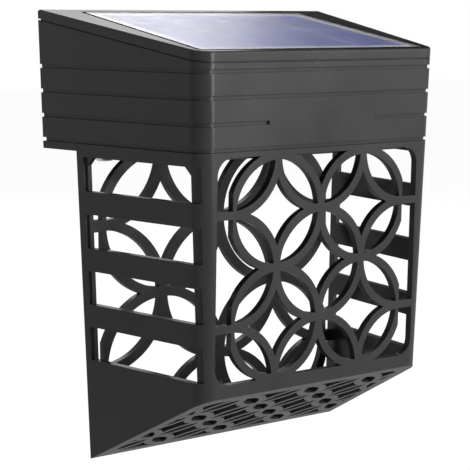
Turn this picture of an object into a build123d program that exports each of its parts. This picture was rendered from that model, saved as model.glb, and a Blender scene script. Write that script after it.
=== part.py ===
"""Solar fence light: a wedge-topped housing over a pierced, tapered lantern cage.

Millimetres, +Z up. The origin is on the wall face, midway between the two keyhole seats.
X runs along the wall, and the lamp stands out from the wall towards -Y.
"""
from build123d import *
from math import atan, cos, degrees, hypot, radians, sin, tan
import os

os.makedirs("parts", exist_ok=True)

# ---------------------------------------------------------------- overall size and taper
front_width = 80.0          # across the front corners, level with the front top edge
rear_width = 97.8           # across the wall face, at the same level
depth = 60.5                # wall face to front face, at the same level
front_top_z = 6.0           # front top edge above the keyhole seats
rear_rise = 10.2            # how much higher the top is at the wall than at the front
housing_low_z = -21.0       # underside of the housing
cage_front_low_z = -81.7    # lower front edge of the cage
cage_rear_low_z = -105.2    # lower rear edge of the cage
overhang = 13.6             # how far the housing reaches back behind the cage
side_draft = 1.86           # taper of the sides towards the bottom, in degrees
front_draft = 1.25          # taper of the front face, in degrees
cage_rear_draft = 0.7       # taper of the cage's rear wall, in degrees
corner_radius = 5.0         # upright front corners
wall = 2.0                  # moulded wall thickness
fit = 0.15                  # gap between mouldings that fit one in the other

# ---------------------------------------------------------------- housing shell and grooves
groove_width = 1.0
groove_depth = 0.6
first_groove_z = 1.1        # centre of the highest groove
groove_pitch = 6.55
groove_count = 3            # cut grooves; the fourth line is the open seam above the cage
groove_break = 35.7         # bare middle of the lowest cut groove, across the front
seam_gap = 1.0              # height of the open seam between shell and cage
base_thickness = 2.0
spigot_wall = 1.5           # upstand of the base plate inside the shell
spigot_height = 2.5
boss_radius = 3.0
boss_height = 11.0
boss_rib = 2.0
pilot_radius = 1.4
pilot_depth = 10.0
seam_height = 0.4           # shadow line under the lid
seam_depth = 0.5

# ---------------------------------------------------------------- lid and solar panel
lid_band = 2.4              # visible edge height of the lid
lid_skirt = 1.8             # how far the lid's tray sinks into the shell
lid_edge_round = 0.5
panel_width = 76.2
panel_corner = 1.5
panel_length = 55.0         # measured up the slope
panel_front_margin = 2.3    # front top edge to panel, up the slope
panel_gap = 0.4             # dark gap around the panel
backing_thickness = 0.7
cell_thickness = 0.3
cover_thickness = 0.9
cell_columns = 4
cell_rows = 2
cell_gap = 0.5
panel_border = 4.0          # blank strip around the cells
gasket_thickness = 1.0
gasket_width = 2.0
ledge_thickness = 1.6
lead_hole_radius = 1.8

# ---------------------------------------------------------------- keyholes in the wall face
keyhole_spacing = 50.0
keyhole_head_radius = 4.5
keyhole_slot_width = 4.6
keyhole_drop = 8.0          # screw's seat above the head hole's centre
pocket_depth = 5.0          # room for the screw head behind the wall face
pocket_wall = 1.4
pocket_margin = 1.2

# ---------------------------------------------------------------- cage windows and pattern
frame_top_z = -20.4         # upper edge of the front window
front_ring_radius = 14.48   # ring centre line, front pattern
rear_ring_radius = 19.8     # the same, rear pattern
bottom_ring_radius = 10.4   # the same, bottom pattern
band = 2.1                  # width of the front and bottom rings
rear_band = 2.7             # width of the rear rings
ring_steps = 4              # ring radii across and up the front and rear patterns
bottom_steps_across = 10    # half of this is odd, so a gap between rings lies at the middle
bottom_steps_up = 4
front_window_width = 67.8
rear_frame_top_z = -22.6    # upper edge of the rear pattern
rear_rings_z = -61.1        # its middle
rear_frame_low_z = -100.8   # its lower edge
rear_bar_height = 3.3       # bars between the outermost rings and the side walls
window_corner = 4.5
bottom_frame = 4.0          # rim around the bottom pattern
first_gap_z = -22.4         # top of the highest gap in the sides
gap_height = 9.1
slat_height = 6.15
slat_count = 3
side_window_front_y = -55.5
side_window_rear_y = -16.9
side_window_chamfer = 2.2
relief_depth = 0.8          # shallow step around the gaps
relief_setback = 1.3        # from the leaning front face, on the corner's rounding
relief_rear_y = -16.1

# ---------------------------------------------------------------- screws, ears and tongues
screw_radius = 1.35
screw_clearance_radius = 1.6
screw_head_radius = 2.6
screw_head_height = 1.7
screw_length = 11.0         # under the head
drive_width = 0.7           # cross slot in a screw head
drive_depth = 0.8
recess_radius = 3.0
well_radius = 4.2
front_screw_x = 32.0
front_screw_y = -52.4
rear_screw_x = 33.5
rear_screw_y = -8.0
ear_width = 8.0
ear_thickness = 2.0
ear_reach = 9.8             # from the cage's rear wall towards the wall face
tongue_length = 6.0
tongue_thickness = 0.9
tongue_reach = 1.1
tongue_y = -47.0

# ---------------------------------------------------------------- light, cell and switch
lamp_y = -40.0              # axis of the light source
lens_hole_radius = 5.5
lens_flange_radius = 6.9
lens_flange_thickness = 0.9
lens_dome_height = 2.4
lens_wall = 1.1
led_radius = 2.5
led_flange_radius = 2.9
led_flange_height = 1.0
led_body_height = 4.2       # flange to tip
led_pin_radius = 0.3
led_pin_pitch = 2.54
board_width = 44.0
board_depth = 20.0
board_thickness = 1.6
board_y = -43.4
board_hole_radius = 1.3
standoff_height = 3.0
standoff_radius = 2.6
board_screw_x = 18.0
board_screw_y = -46.0
board_screw_radius = 1.05
board_screw_length = 4.2
board_pilot_radius = 1.1
chip_size = (5.0, 4.0, 1.5)
coil_radius = 3.0
coil_height = 4.5
capacitor_radius = 1.6
capacitor_height = 5.0
cell_radius = 7.1
cell_length = 49.0
cell_nub_radius = 2.7
cell_nub_height = 1.2
cell_shoulder = 0.6
cell_y = -23.1
cell_play = 0.4
holder_wall = 1.6
holder_floor = 1.2
holder_height = 9.0
contact_thickness = 0.5
contact_size = 9.0
spring_wire_radius = 0.4
spring_turns = 3.0
spring_radius = 2.9         # to the wire's centre
spring_length = 4.2
switch_size = 9.0
switch_height = 8.0
switch_y = -8.4
button_radius = 3.0
button_edge_round = 0.5
button_flange_radius = 3.7
button_flange_thickness = 0.8
button_stem_radius = 1.5
button_proud = 1.6
button_travel = 1.2
button_spring_wire = 0.2
button_spring_turns = 3.0
button_spring_length = 3.2
running_gap = 0.3
lead_radius = 0.5
solar_lead_x = 0.8          # wires pass through the lid side by side
solar_pad_x = 2.2
solar_pad_y = -45.5
battery_pad_x = 11.0
battery_pad_y = -41.0
switch_pad_x = 6.5
switch_pad_y = -48.5
pad_radius = 0.8
pad_height = 0.4

# ---------------------------------------------------------------- levels that follow from these
slope = degrees(atan(rear_rise / depth))
shell_low_z = housing_low_z + base_thickness + seam_gap
base_top_z = housing_low_z + base_thickness
groove_levels = [first_groove_z - n * groove_pitch for n in range(groove_count)]
panel_stack = backing_thickness + cell_thickness + cover_thickness
board_z = base_top_z + standoff_height


def half_width(y, z):
    """Half the body's width, at depth y and height z: the walls splay and taper."""
    splay = (rear_width - front_width) / 2 * (y + depth) / depth
    return front_width / 2 + splay + (z - front_top_z) * tan(radians(side_draft))


def front_y(z):
    """The front face, which leans back towards the bottom."""
    return -depth - (z - front_top_z) * tan(radians(front_draft))


def wall_y(z):
    """The upright face against the wall."""
    return 0.0


def behind_wall_y(z):
    """A rear edge past the wall face."""
    return 4 * wall


def cage_rear_y(z):
    """The outer face of the cage's rear wall."""
    return -overhang + (z - housing_low_z) * tan(radians(cage_rear_draft))


def plan(z, rear, inset=0.0):
    """The lamp's trapezoid plan at height z, with its round front corners."""
    front, back = front_y(z), rear(z)
    with BuildSketch(Plane.XY.offset(z)) as outline:
        with BuildLine():
            Polyline(
                (-half_width(back, z), back), (-half_width(front, z), front),
                (half_width(front, z), front), (half_width(back, z), back), close=True)
        make_face()
        fillet(vertices().group_by(Axis.Y)[0], corner_radius)
        if inset:
            offset(amount=-inset, kind=Kind.INTERSECTION)
    return outline.sketch


def tapered(low_z, high_z, rear, inset=0.0, mode=Mode.ADD):
    """Lofts the plan between two heights, in the part that is being built."""
    loft([plan(low_z, rear, inset), plan(high_z, rear, inset)], ruled=True, mode=mode)


def flat_backed(low_z, high_z):
    """The full plan between two heights, cut off flat where it meets the wall."""
    tapered(low_z, high_z, behind_wall_y)
    split(bisect_by=Plane.XZ, keep=Keep.TOP)


# The lid's top plane climbs from the front top edge to the wall, and its Y runs up the slope.
top_plane = Plane(origin=(0, front_y(front_top_z), front_top_z), x_dir=(1, 0, 0),
                  z_dir=(0, -sin(radians(slope)), cos(radians(slope))))
lid_under = top_plane.offset(-lid_band)
tray_under = top_plane.offset(-lid_band - lid_skirt)
gasket_under = tray_under.offset(-gasket_thickness)
ledge_under = gasket_under.offset(-ledge_thickness)
high_z = front_top_z + rear_rise + 2.0

# The cage's floor runs down from its front edge to its rear edge, and its Y runs down the slope.
floor_front_y = front_y(cage_front_low_z)
floor_rear_y = cage_rear_y(cage_rear_low_z)
floor_length = hypot(floor_rear_y - floor_front_y, cage_front_low_z - cage_rear_low_z)
floor_tilt = degrees(atan((cage_front_low_z - cage_rear_low_z) / (floor_rear_y - floor_front_y)))
floor_plane = Plane(
    origin=(0, (floor_front_y + floor_rear_y) / 2, (cage_front_low_z + cage_rear_low_z) / 2),
    x_dir=(1, 0, 0), z_dir=(0, sin(radians(floor_tilt)), cos(radians(floor_tilt))))
floor_inner = floor_plane.offset(wall)


def faces_up_slope(face):
    """True for faces that look straight out of the sloping top."""
    return face.normal_at().dot(top_plane.z_dir) > 0.999


# ================================================================ solar lid
panel_mid = panel_front_margin + panel_length / 2
tray_inset = wall + fit

with BuildPart() as solar_lid:
    flat_backed(shell_low_z, high_z)
    split(bisect_by=top_plane, keep=Keep.BOTTOM)
    split(bisect_by=lid_under, keep=Keep.TOP)
    fillet(faces().filter_by(faces_up_slope).edges(), lid_edge_round)

with BuildPart() as tray:
    tapered(shell_low_z, high_z, wall_y, tray_inset)
    split(bisect_by=lid_under, keep=Keep.BOTTOM)
    split(bisect_by=tray_under, keep=Keep.TOP)

with solar_lid:
    add(tray.part)
    with BuildSketch(top_plane):
        with Locations((0, panel_mid)):
            RectangleRounded(panel_width + 2 * panel_gap, panel_length + 2 * panel_gap, panel_corner + panel_gap)
    extrude(amount=-panel_stack, mode=Mode.SUBTRACT)
    with BuildSketch(top_plane):
        with Locations((0, panel_mid)):
            Circle(lead_hole_radius)
    extrude(amount=-(lid_band + lid_skirt), mode=Mode.SUBTRACT)
solar_lid.part.label = "solar_lid"
export_step(solar_lid.part, "parts/solar_lid.step")

# ================================================================ solar panel: board, cells, cover
cell_size_x = (panel_width - 2 * panel_border + cell_gap) / cell_columns - cell_gap
cell_size_y = (panel_length - 2 * panel_border + cell_gap) / cell_rows - cell_gap
backing_plane = top_plane.offset(-panel_stack)
cell_plane = top_plane.offset(-cover_thickness)         # top of the cells, underside of the cover


with BuildSketch(cell_plane) as cell_grid:
    with Locations((0, panel_mid)):
        with GridLocations(cell_size_x + cell_gap, cell_size_y + cell_gap, cell_columns, cell_rows):
            Rectangle(cell_size_x, cell_size_y)


with BuildPart() as panel_backing:
    with BuildSketch(backing_plane):
        with Locations((0, panel_mid)):
            RectangleRounded(panel_width, panel_length, panel_corner)
    extrude(amount=backing_thickness)
panel_backing.part.label = "panel_backing"
export_step(panel_backing.part, "parts/panel_backing.step")

with BuildPart() as solar_cells:
    extrude(cell_grid.sketch, amount=-cell_thickness)
solar_cells.part.label = "solar_cells"
export_step(solar_cells.part, "parts/solar_cells.step")

with BuildPart() as panel_cover:
    with BuildSketch(cell_plane):
        with Locations((0, panel_mid)):
            RectangleRounded(panel_width, panel_length, panel_corner)
    extrude(amount=cover_thickness)
panel_cover.part.label = "panel_cover"
export_step(panel_cover.part, "parts/panel_cover.step")

# ================================================================ lid gasket
with BuildPart() as lid_gasket:
    tapered(shell_low_z, high_z, wall_y, tray_inset)
    tapered(shell_low_z, high_z, wall_y, tray_inset + gasket_width, mode=Mode.SUBTRACT)
    split(bisect_by=tray_under, keep=Keep.BOTTOM)
    split(bisect_by=gasket_under, keep=Keep.TOP)
lid_gasket.part.label = "lid_gasket"
export_step(lid_gasket.part, "parts/lid_gasket.step")

# ================================================================ housing shell
boss_low_z = shell_low_z + spigot_height + 2 * fit
screw_spots = [(side * x, y) for side in (-1, 1)
               for x, y in ((front_screw_x, front_screw_y), (rear_screw_x, rear_screw_y))]

with BuildPart() as ledge:
    tapered(shell_low_z, high_z, wall_y, wall / 2)
    tapered(shell_low_z, high_z, wall_y, tray_inset + gasket_width, mode=Mode.SUBTRACT)
    split(bisect_by=gasket_under, keep=Keep.BOTTOM)
    split(bisect_by=ledge_under, keep=Keep.TOP)

with BuildPart() as grooves:
    with Locations(*[(0, -depth / 2, z) for z in groove_levels]):
        Box(2 * rear_width, 2 * depth, groove_width)
    tapered(shell_low_z, high_z, behind_wall_y, groove_depth, mode=Mode.SUBTRACT)
    with Locations((0, front_y(groove_levels[-1]), groove_levels[-1])):
        Box(groove_break, 8 * groove_depth, 2 * groove_width, mode=Mode.SUBTRACT)

with BuildPart() as lid_seam:
    tapered(shell_low_z, high_z, wall_y)
    tapered(shell_low_z, high_z, wall_y, seam_depth, mode=Mode.SUBTRACT)
    split(bisect_by=lid_under, keep=Keep.BOTTOM)
    split(bisect_by=lid_under.offset(-seam_height), keep=Keep.TOP)

pocket_inner_width = 2 * (keyhole_head_radius + pocket_margin)
pocket_low_z = -keyhole_drop - keyhole_head_radius - pocket_margin
pocket_top_z = keyhole_slot_width / 2 + pocket_margin

with BuildPart() as housing_shell:
    flat_backed(shell_low_z, high_z)
    split(bisect_by=lid_under, keep=Keep.BOTTOM)
    tapered(shell_low_z - 1, high_z + 1, wall_y, wall, mode=Mode.SUBTRACT)
    add(ledge.part)
    add(grooves.part, mode=Mode.SUBTRACT)
    add(lid_seam.part, mode=Mode.SUBTRACT)
    # screw bosses, each with a rib to the nearest wall
    for x, y in screw_spots:
        rib_end = front_y(boss_low_z) + wall / 2 if y < -depth / 2 else -wall / 2
        with BuildSketch(Plane.XY.offset(boss_low_z)):
            with Locations((x, y)):
                Circle(boss_radius)
            with Locations((x, (y + rib_end) / 2)):
                Rectangle(boss_rib, abs(y - rib_end))
        extrude(amount=boss_height)
    with BuildSketch(Plane.XY.offset(boss_low_z)):
        with Locations(*screw_spots):
            Circle(pilot_radius)
    extrude(amount=pilot_depth, mode=Mode.SUBTRACT)
    # closed pockets behind the keyholes, so that rain stays out
    for side in (-1, 1):
        with BuildSketch(Plane.XZ.offset(wall / 2)):
            with Locations((side * keyhole_spacing / 2, (pocket_low_z + pocket_top_z) / 2)):
                Rectangle(pocket_inner_width + 2 * pocket_wall, pocket_top_z - pocket_low_z + 2 * pocket_wall)
        extrude(amount=wall / 2 + pocket_depth + pocket_wall)
        with BuildSketch(Plane.XZ.offset(wall)):
            with Locations((side * keyhole_spacing / 2, (pocket_low_z + pocket_top_z) / 2)):
                Rectangle(pocket_inner_width, pocket_top_z - pocket_low_z)
        extrude(amount=pocket_depth, mode=Mode.SUBTRACT)
        with BuildSketch(Plane.XZ):
            with Locations((side * keyhole_spacing / 2, -keyhole_drop)):
                Circle(keyhole_head_radius)
            with Locations((side * keyhole_spacing / 2, -keyhole_drop / 2)):
                SlotCenterToCenter(keyhole_drop, keyhole_slot_width, rotation=90)
        extrude(amount=wall, mode=Mode.SUBTRACT)
housing_shell.part.label = "housing_shell"
export_step(housing_shell.part, "parts/housing_shell.step")

# ================================================================ base plate
front_spots = [(side * front_screw_x, front_screw_y) for side in (-1, 1)]
rear_spots = [(side * rear_screw_x, rear_screw_y) for side in (-1, 1)]
board_spots = [(side * board_screw_x, board_screw_y) for side in (-1, 1)]
well_top_z = boss_low_z - fit
tongue_z = housing_low_z + base_thickness / 2

with BuildPart() as deck_front:
    tapered(housing_low_z, base_top_z, wall_y, tray_inset)

with BuildPart() as base_plate:
    flat_backed(housing_low_z, base_top_z)
    with Locations((0, fit - overhang - depth, housing_low_z)):
        Box(2 * rear_width, 2 * depth, 4 * base_thickness, mode=Mode.SUBTRACT)
    add(deck_front.part)
    # flange between shell and cage, and the upstand that locates the plate in the shell
    tapered(base_top_z, shell_low_z, wall_y, groove_depth)
    tapered(shell_low_z, shell_low_z + spigot_height, wall_y, tray_inset)
    tapered(base_top_z, shell_low_z + spigot_height, wall_y, tray_inset + spigot_wall, mode=Mode.SUBTRACT)
    # wells and pads under the four bosses
    with BuildSketch(Plane.XY.offset(base_top_z)):
        with Locations(*screw_spots):
            Circle(well_radius)
    extrude(amount=well_top_z - base_top_z)
    with BuildSketch(Plane.XY.offset(housing_low_z)):
        with Locations(*screw_spots):
            Circle(screw_clearance_radius)
    extrude(amount=well_top_z - housing_low_z, mode=Mode.SUBTRACT)
    with BuildSketch(Plane.XY.offset(housing_low_z)):
        with Locations(*front_spots):
            Circle(recess_radius)
    extrude(amount=ear_thickness, mode=Mode.SUBTRACT)
    # tongues that carry the cage's sides
    for side in (-1, 1):
        inner_x = side * (half_width(tongue_y, tongue_z) - wall)
        with Locations((inner_x, tongue_y, tongue_z)):
            Box(2 * tongue_reach, tongue_length, tongue_thickness)
    # standoffs for the circuit board
    with BuildSketch(Plane.XY.offset(base_top_z)):
        with Locations(*board_spots):
            Circle(standoff_radius)
            Circle(board_pilot_radius, mode=Mode.SUBTRACT)
    extrude(amount=standoff_height)
    # openings for the lens and the push button
    with BuildSketch(Plane.XY.offset(housing_low_z)):
        with Locations((0, lamp_y)):
            Circle(lens_hole_radius)
        with Locations((0, switch_y)):
            Circle(button_radius + running_gap)
    extrude(amount=base_thickness, mode=Mode.SUBTRACT)
base_plate.part.label = "base_plate"
export_step(base_plate.part, "parts/base_plate.step")

# ================================================================ cage
front_plane = Plane(origin=(0, front_y(front_top_z), front_top_z), x_dir=(1, 0, 0),
                    z_dir=(0, -cos(radians(front_draft)), -sin(radians(front_draft))))
rear_plane = Plane(origin=(0, cage_rear_y(housing_low_z), housing_low_z), x_dir=(1, 0, 0),
                   z_dir=(0, -cos(radians(cage_rear_draft)), sin(radians(cage_rear_draft))))


def ring_sketch(radius, width, across, up, bar_length, bar_height):
    """The rings as one flat shape, cut off at the pattern's sides and joined to the frame there."""
    centres = [(i * radius, j * radius)
               for i in range(-(across // 2), across // 2 + 1)
               for j in range(-(up // 2), up // 2 + 1) if (i + j + (across + up) // 2) % 2 == 0]
    with BuildSketch() as ring:
        Circle(radius + width / 2)
        Circle(radius - width / 2, mode=Mode.SUBTRACT)
    with BuildSketch() as rings:
        with Locations(*centres):
            add(ring.sketch)
        Rectangle(across * radius, (up + 2) * radius, mode=Mode.INTERSECT)
        if bar_length:
            nodes = [(side * (across / 2 * radius + bar_length / 2), j * radius)
                     for side in (-1, 1) for j in range(-(up // 2) + 1, up // 2, 2)]
            with Locations(*nodes):
                Rectangle(bar_length, bar_height)
    return rings.sketch


front_height = ring_steps * front_ring_radius
front_bars = front_window_width / 2 - ring_steps / 2 * front_ring_radius
rear_bars = rear_width / 2 - ring_steps / 2 * rear_ring_radius      # the side walls cut them to length
front_rings = ring_sketch(front_ring_radius, band, ring_steps, ring_steps, front_bars, band)
rear_rings = ring_sketch(rear_ring_radius, rear_band, ring_steps, ring_steps, rear_bars, rear_bar_height)
bottom_rings = ring_sketch(bottom_ring_radius, band, bottom_steps_across, bottom_steps_up, 0, 0)

with BuildPart() as rear_window:
    # the whole width between the side walls, without the rings that stand in it
    tapered(rear_frame_low_z, rear_frame_top_z, behind_wall_y, wall)
    split(bisect_by=rear_plane.offset(1.2 * wall), keep=Keep.BOTTOM)
    with BuildSketch(rear_plane):
        with Locations((0, (rear_rings_z - housing_low_z) / cos(radians(cage_rear_draft)))):
            add(rear_rings)
    extrude(amount=overhang + 8 * wall, both=True, mode=Mode.SUBTRACT)

with BuildPart() as relief:
    # shallow steps around the gaps, cut along the tapering outer face
    for n in range(slat_count + 1):
        mid_z = first_gap_z - n * (gap_height + slat_height) - gap_height / 2
        start_y = front_y(mid_z) + relief_setback
        with Locations((0, (start_y + relief_rear_y) / 2, mid_z)):
            Box(2 * rear_width, relief_rear_y - start_y, gap_height)
    tapered(cage_rear_low_z, base_top_z, behind_wall_y, relief_depth, mode=Mode.SUBTRACT)

with BuildPart() as cage_room:
    # the inside of the cage, above its sloping floor
    tapered(cage_rear_low_z - 10, base_top_z, cage_rear_y, wall)
    split(bisect_by=floor_inner, keep=Keep.TOP)

with BuildPart() as cage:
    tapered(cage_rear_low_z - 10, base_top_z, cage_rear_y)
    split(bisect_by=floor_plane, keep=Keep.TOP)
    add(cage_room.part, mode=Mode.SUBTRACT)
    # the base plate lies over the rear wall and between the side walls
    tapered(housing_low_z, base_top_z, behind_wall_y, wall, mode=Mode.SUBTRACT)
    # the sides: a tall window with slats left across it
    for n in range(slat_count + 1):
        top_z = first_gap_z - n * (gap_height + slat_height)
        with BuildSketch(Plane.YZ.offset(-rear_width)):
            with Locations(((side_window_front_y + side_window_rear_y) / 2, top_z - gap_height / 2)):
                Rectangle(side_window_rear_y - side_window_front_y, gap_height)
            if n == 0:
                chamfer(vertices().group_by(Axis.Y)[-1], side_window_chamfer)
        extrude(amount=2 * rear_width, mode=Mode.SUBTRACT)
    add(relief.part, mode=Mode.SUBTRACT)
    # slots for the base plate's tongues
    for side in (-1, 1):
        inner_x = side * (half_width(tongue_y, tongue_z) - wall)
        with Locations((inner_x, tongue_y, tongue_z)):
            Box(2 * (tongue_reach + fit), tongue_length + 2 * fit, tongue_thickness + 2 * fit, mode=Mode.SUBTRACT)
    # pierced front, rear and floor
    with BuildSketch(front_plane):
        with Locations((0, (frame_top_z - front_top_z) / cos(radians(front_draft)) - front_height / 2)):
            RectangleRounded(front_window_width, front_height, window_corner)
            add(front_rings, mode=Mode.SUBTRACT)
    extrude(amount=1.5 * wall, both=True, mode=Mode.SUBTRACT)
    add(rear_window.part, mode=Mode.SUBTRACT)
    with BuildSketch(floor_plane):
        reach = floor_length / 2 - bottom_frame
        narrow = half_width(floor_front_y, cage_front_low_z) - bottom_frame
        wide = half_width(floor_rear_y, cage_rear_low_z) - bottom_frame
        with BuildLine():
            Polyline((-wide, reach), (wide, reach), (narrow, -reach), (-narrow, -reach), close=True)
        make_face()
        fillet(vertices(), bottom_frame)
        add(bottom_rings, mode=Mode.SUBTRACT)
    extrude(amount=1.5 * wall, both=True, mode=Mode.SUBTRACT)
    # ears that hang the rear wall from the housing's rear screws
    with BuildSketch(Plane.XY.offset(housing_low_z - ear_thickness)):
        for x, y in rear_spots:
            with Locations((x, -overhang - wall / 2 + (ear_reach + wall / 2) / 2)):
                Rectangle(ear_width, ear_reach + wall / 2)
        with Locations(*rear_spots):
            Circle(screw_clearance_radius, mode=Mode.SUBTRACT)
    extrude(amount=ear_thickness)
cage.part.label = "cage"
export_step(cage.part, "parts/cage.step")

# ================================================================ base screws
def pan_screw(radius, length, head_radius, head_height, drive):
    """A pan-head screw standing head down at the origin, its shank pointing up."""
    with BuildPart() as screw:
        with BuildSketch(Plane.XY.offset(-head_height)):
            Circle(head_radius)
        extrude(amount=head_height)
        fillet(faces().sort_by(Axis.Z)[0].edges(), head_height / 2)
        with BuildSketch(Plane.XY):
            Circle(radius)
        extrude(amount=length)
        chamfer(faces().sort_by(Axis.Z)[-1].edges(), radius / 2)
        with BuildSketch(Plane.XY.offset(-head_height)):
            Rectangle(1.2 * head_radius, drive)
            Rectangle(drive, 1.2 * head_radius)
        extrude(amount=head_height / 2, mode=Mode.SUBTRACT)
    return screw.part


base_screw = pan_screw(screw_radius, screw_length, screw_head_radius, screw_head_height, drive_width)
front_seat_z = housing_low_z + ear_thickness
rear_seat_z = housing_low_z - ear_thickness
with BuildPart() as base_screws:
    with Locations(*[(x, y, front_seat_z) for x, y in front_spots], *[(x, y, rear_seat_z) for x, y in rear_spots]):
        add(base_screw)
base_screws.part.label = "base_screws"
export_step(base_screws.part, "parts/base_screws.step")

# ================================================================ circuit board and its parts
board_top_z = board_z + board_thickness
pins = [(side * led_pin_pitch / 2, lamp_y) for side in (-1, 1)]
pads = [(side * x, y) for side in (-1, 1) for x, y in (
    (solar_pad_x, solar_pad_y), (battery_pad_x, battery_pad_y), (switch_pad_x, switch_pad_y))]

with BuildPart() as circuit_board:
    with BuildSketch(Plane.XY.offset(board_z)):
        with Locations((0, board_y)):
            Rectangle(board_width, board_depth)
        with Locations(*board_spots):
            Circle(board_hole_radius, mode=Mode.SUBTRACT)
        with Locations(*pins):
            Circle(2 * led_pin_radius, mode=Mode.SUBTRACT)
    extrude(amount=board_thickness)
circuit_board.part.label = "circuit_board"
export_step(circuit_board.part, "parts/circuit_board.step")

with BuildPart() as board_parts:
    # charging chip, coil, capacitor and the six solder pads
    with Locations((-board_width / 4, board_y - board_depth / 4, board_top_z)):
        Box(*chip_size, align=(Align.CENTER, Align.CENTER, Align.MIN))
    with Locations((board_width / 3, board_y + board_depth / 4, board_top_z)):
        Cylinder(coil_radius, coil_height, align=(Align.CENTER, Align.CENTER, Align.MIN))
    with Locations((-board_width / 3, board_y + board_depth / 4, board_top_z)):
        Cylinder(capacitor_radius, capacitor_height, align=(Align.CENTER, Align.CENTER, Align.MIN))
    with Locations(*[(x, y, board_top_z) for x, y in pads]):
        Cylinder(pad_radius, pad_height, align=(Align.CENTER, Align.CENTER, Align.MIN))
board_parts.part.label = "board_parts"
export_step(board_parts.part, "parts/board_parts.step")

small_screw = pan_screw(board_screw_radius, board_screw_length, 2 * board_screw_radius, board_screw_radius,
                        board_screw_radius / 2)
with BuildPart() as board_screws:
    with Locations(*[Location((x, y, board_top_z), (180, 0, 0)) for x, y in board_spots]):
        add(small_screw)
board_screws.part.label = "board_screws"
export_step(board_screws.part, "parts/board_screws.step")

# ================================================================ light source and lens
led_low_z = board_z - led_flange_height - led_body_height
with BuildPart() as led:
    with BuildSketch(Plane.XZ):
        with BuildLine():
            Polyline((0, led_low_z + led_radius), (0, board_z), (led_flange_radius, board_z),
                     (led_flange_radius, board_z - led_flange_height), (led_radius, board_z - led_flange_height),
                     (led_radius, led_low_z + led_radius))
            TangentArc((led_radius, led_low_z + led_radius), (0, led_low_z), tangent=(0, -1))
            Line((0, led_low_z), (0, led_low_z + led_radius))
        make_face()
    revolve(axis=Axis.Z)
with BuildPart() as led_placed:
    with Locations((0, lamp_y, 0)):
        add(led.part)
    with BuildSketch(Plane.XY.offset(board_z)):
        with Locations(*pins):
            Circle(led_pin_radius)
    extrude(amount=board_thickness + led_flange_height)
led_placed.part.label = "led"
export_step(led_placed.part, "parts/led.step")

neck_radius = lens_hole_radius - fit
lens_low_z = housing_low_z - lens_dome_height
with BuildPart() as lens_turned:
    with BuildSketch(Plane.XZ):
        with BuildLine():
            TangentArc((0, lens_low_z), (neck_radius, housing_low_z), tangent=(1, 0))
            Polyline((neck_radius, housing_low_z), (neck_radius, base_top_z), (lens_flange_radius, base_top_z),
                     (lens_flange_radius, base_top_z + lens_flange_thickness),
                     (neck_radius - lens_wall, base_top_z + lens_flange_thickness),
                     (neck_radius - lens_wall, housing_low_z))
            TangentArc((0, lens_low_z + lens_wall), (neck_radius - lens_wall, housing_low_z), tangent=(1, 0))
            Line((0, lens_low_z + lens_wall), (0, lens_low_z))
        make_face()
    revolve(axis=Axis.Z)
with BuildPart() as led_lens:
    with Locations((0, lamp_y, 0)):
        add(lens_turned.part)
led_lens.part.label = "led_lens"
export_step(led_lens.part, "parts/led_lens.step")

# ================================================================ battery, holder and contacts
cell_z = base_top_z + holder_floor + cell_play / 4 + cell_radius
room_length = cell_length + cell_nub_height + spring_length + 2 * contact_thickness + cell_play
cell_mid_x = (spring_length - cell_nub_height) / 2      # the spring takes the -X end
cell_low_x = cell_mid_x - cell_length / 2

with BuildPart() as battery:
    with BuildSketch(Plane.YZ.offset(cell_low_x)):
        with Locations((cell_y, cell_z)):
            Circle(cell_radius)
    extrude(amount=cell_length)
    fillet(edges().filter_by(GeomType.CIRCLE), cell_shoulder)
    with BuildSketch(Plane.YZ.offset(cell_low_x + cell_length)):
        with Locations((cell_y, cell_z)):
            Circle(cell_nub_radius)
    extrude(amount=cell_nub_height)
battery.part.label = "battery"
export_step(battery.part, "parts/battery.step")

trough_width = 2 * (cell_radius + cell_play)
with BuildPart() as battery_holder:
    with Locations((0, cell_y, base_top_z)):
        Box(room_length + 2 * holder_wall, trough_width + 2 * holder_wall, holder_height,
            align=(Align.CENTER, Align.CENTER, Align.MIN))
    with Locations((0, cell_y, base_top_z + holder_floor)):
        Box(room_length, trough_width, holder_height, align=(Align.CENTER, Align.CENTER, Align.MIN),
            mode=Mode.SUBTRACT)
battery_holder.part.label = "battery_holder"
export_step(battery_holder.part, "parts/battery_holder.step")

contact_z = base_top_z + holder_floor + contact_size / 2
with BuildPart() as contact_plate:
    with Locations((room_length / 2 - contact_thickness / 2, cell_y, contact_z)):
        Box(contact_thickness, contact_size, contact_size)
contact_plate.part.label = "contact_plate"
export_step(contact_plate.part, "parts/contact_plate.step")

with BuildPart() as contact_spring:
    with BuildLine():
        coil = Helix(
            pitch=(spring_length - 2 * spring_wire_radius) / spring_turns,
            height=spring_length - 2 * spring_wire_radius, radius=spring_radius,
            center=(contact_thickness - room_length / 2 + spring_wire_radius, cell_y, cell_z), direction=(1, 0, 0))
    with BuildSketch(Plane(coil @ 0, z_dir=coil % 0)):
        Circle(spring_wire_radius)
    sweep()
    with Locations((contact_thickness / 2 - room_length / 2, cell_y, contact_z)):
        Box(contact_thickness, contact_size, contact_size)
contact_spring.part.label = "contact_spring"
export_step(contact_spring.part, "parts/contact_spring.step")

# ================================================================ push switch
flange_low_z = base_top_z + running_gap
flange_top_z = flange_low_z + button_flange_thickness
room_top_z = flange_top_z + button_spring_length
with BuildPart() as switch_body:
    with BuildSketch(Plane.XY.offset(base_top_z)):
        with Locations((0, switch_y)):
            Rectangle(switch_size, switch_size)
            Circle(button_stem_radius + running_gap, mode=Mode.SUBTRACT)
    extrude(amount=switch_height)
    with BuildSketch(Plane.XY.offset(base_top_z)):
        with Locations((0, switch_y)):
            Circle(button_flange_radius + running_gap)
    extrude(amount=room_top_z - base_top_z, mode=Mode.SUBTRACT)
switch_body.part.label = "switch_body"
export_step(switch_body.part, "parts/switch_body.step")

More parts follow.
